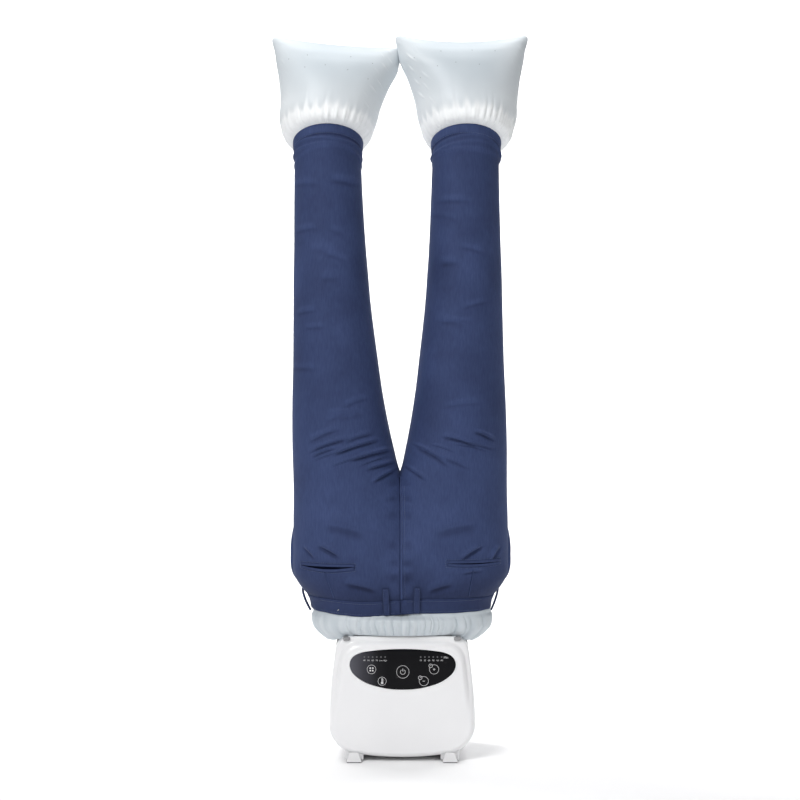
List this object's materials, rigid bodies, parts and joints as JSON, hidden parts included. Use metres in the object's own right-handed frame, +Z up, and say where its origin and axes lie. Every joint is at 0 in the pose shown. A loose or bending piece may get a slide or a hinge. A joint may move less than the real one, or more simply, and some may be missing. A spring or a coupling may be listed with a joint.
{
  "type": "trouser press with inflatable bag",
  "caption": "Hot-air trouser press: a white fan and heater base with a touch panel blows up a two-legged bag that dries and smooths the trousers drawn over it.",
  "frame": {"origin": "on the floor at the centre of the base, between the four feet", "axes": "+Z up, -Y towards the user (touch panel side), X across the two legs"},
  "size_m": [0.531, 0.2, 1.499],
  "materials": {
    "white_cover": "satin",
    "white_shell": "satin",
    "seal_grey": "matt",
    "panel_black": "gloss",
    "catch_grey": "satin",
    "foot_white": "satin",
    "pad_rubber": "matt",
    "grille_white": "satin",
    "filter_mesh": "matt",
    "steel": "brushed",
    "motor_dark": "satin",
    "fan_black": "satin",
    "duct_black": "satin",
    "heater_ceramic": "matt",
    "fin_metal": "satin",
    "board_green": "satin",
    "led_white": "gloss",
    "bag_white": "satin",
    "band_grey": "matt",
    "twill_navy": "matt",
    "button_navy": "gloss",
    "rod_metal": "satin",
    "tip_white": "satin"
  },
  "bodies": {
    "base": {"front_cover": "white_cover", "rear_shell": "white_shell", "parting_seal": "seal_grey", "rear_grille": "grille_white", "dust_filter": "filter_mesh", "filter_frame": "grille_white", "control_panel": "panel_black", "control_board": "board_green", "indicator_leds": "led_white", "touch_springs": "steel", "board_posts": "white_shell", "cord_gland": "seal_grey", "cover_screws": "steel", "foot_rails": "foot_white", "chassis_plate": "white_shell", "motor_bracket": "steel", "fan_motor": "motor_dark", "fan_shroud": "duct_black", "air_duct": "duct_black", "heater_frame": "heater_ceramic", "heater_bars": "heater_ceramic", "heater_fins": "fin_metal", "thermal_cutout": "steel", "outlet_guard": "steel", "outlet_collar": "grille_white", "power_board": "board_green", "power_parts": "motor_dark"},
    "bag_module": {"bag_ring": "grille_white", "drawband": "band_grey", "rod_socket": "tip_white", "rod_tube_left": "rod_metal", "rod_tube_right": "rod_metal", "rod_lock_left": "tip_white", "rod_lock_right": "tip_white", "bag_seat": "bag_white", "bag_leg_left": "bag_white", "bag_leg_right": "bag_white", "trousers_seat": "twill_navy", "trousers_leg_left": "twill_navy", "trousers_leg_right": "twill_navy", "waistband": "twill_navy", "belt_loops": "twill_navy", "pocket_welts": "twill_navy", "waist_button": "button_navy"},
    "fan": {"fan_impeller": "fan_black"},
    "foot_front_left": {"foot_front_left": "foot_white", "foot_pad_front_left": "pad_rubber"},
    "foot_front_right": {"foot_front_right": "foot_white", "foot_pad_front_right": "pad_rubber"},
    "foot_rear_left": {"foot_rear_left": "foot_white", "foot_pad_rear_left": "pad_rubber"},
    "foot_rear_right": {"foot_rear_right": "foot_white", "foot_pad_rear_right": "pad_rubber"},
    "catch_left": {"catch_left": "catch_grey"},
    "rod_left": {"rod_left": "rod_metal", "rod_tip_left": "tip_white"},
    "catch_right": {"catch_right": "catch_grey"},
    "rod_right": {"rod_right": "rod_metal", "rod_tip_right": "tip_white"}
  },
  "joints": [
    {"name": "fan_spin", "type": "hinge", "parent": "base", "child": "fan", "pos_m": [0, 0, 0.114], "axis": [0, 0, 1], "continuous": true},
    {"name": "foot_front_left_slide", "type": "slide", "parent": "base", "child": "foot_front_left", "axis": [0, -1, 0], "range_m": [0, 0.055]},
    {"name": "foot_front_right_slide", "type": "slide", "parent": "base", "child": "foot_front_right", "axis": [0, -1, 0], "range_m": [0, 0.055]},
    {"name": "foot_rear_left_slide", "type": "slide", "parent": "base", "child": "foot_rear_left", "axis": [0, 1, 0], "range_m": [0, 0.055]},
    {"name": "foot_rear_right_slide", "type": "slide", "parent": "base", "child": "foot_rear_right", "axis": [0, 1, 0], "range_m": [0, 0.055]},
    {"name": "catch_left_press", "type": "slide", "parent": "base", "child": "catch_left", "axis": [1, 0, 0], "range_m": [0, 0.004], "stiffness_N_per_m": 800},
    {"name": "catch_right_press", "type": "slide", "parent": "base", "child": "catch_right", "axis": [-1, 0, 0], "range_m": [0, 0.004], "stiffness_N_per_m": 800},
    {"name": "bag_lift", "type": "slide", "parent": "base", "child": "bag_module", "axis": [0, 0, 1], "range_m": [0, 0.12]},
    {"name": "rod_left_slide", "type": "slide", "parent": "bag_module", "child": "rod_left", "axis": [-0.0819, 0, 0.9966], "range_m": [-0.3, 0]},
    {"name": "rod_right_slide", "type": "slide", "parent": "bag_module", "child": "rod_right", "axis": [0.0819, 0, 0.9966], "range_m": [-0.3, 0]}
  ]
}
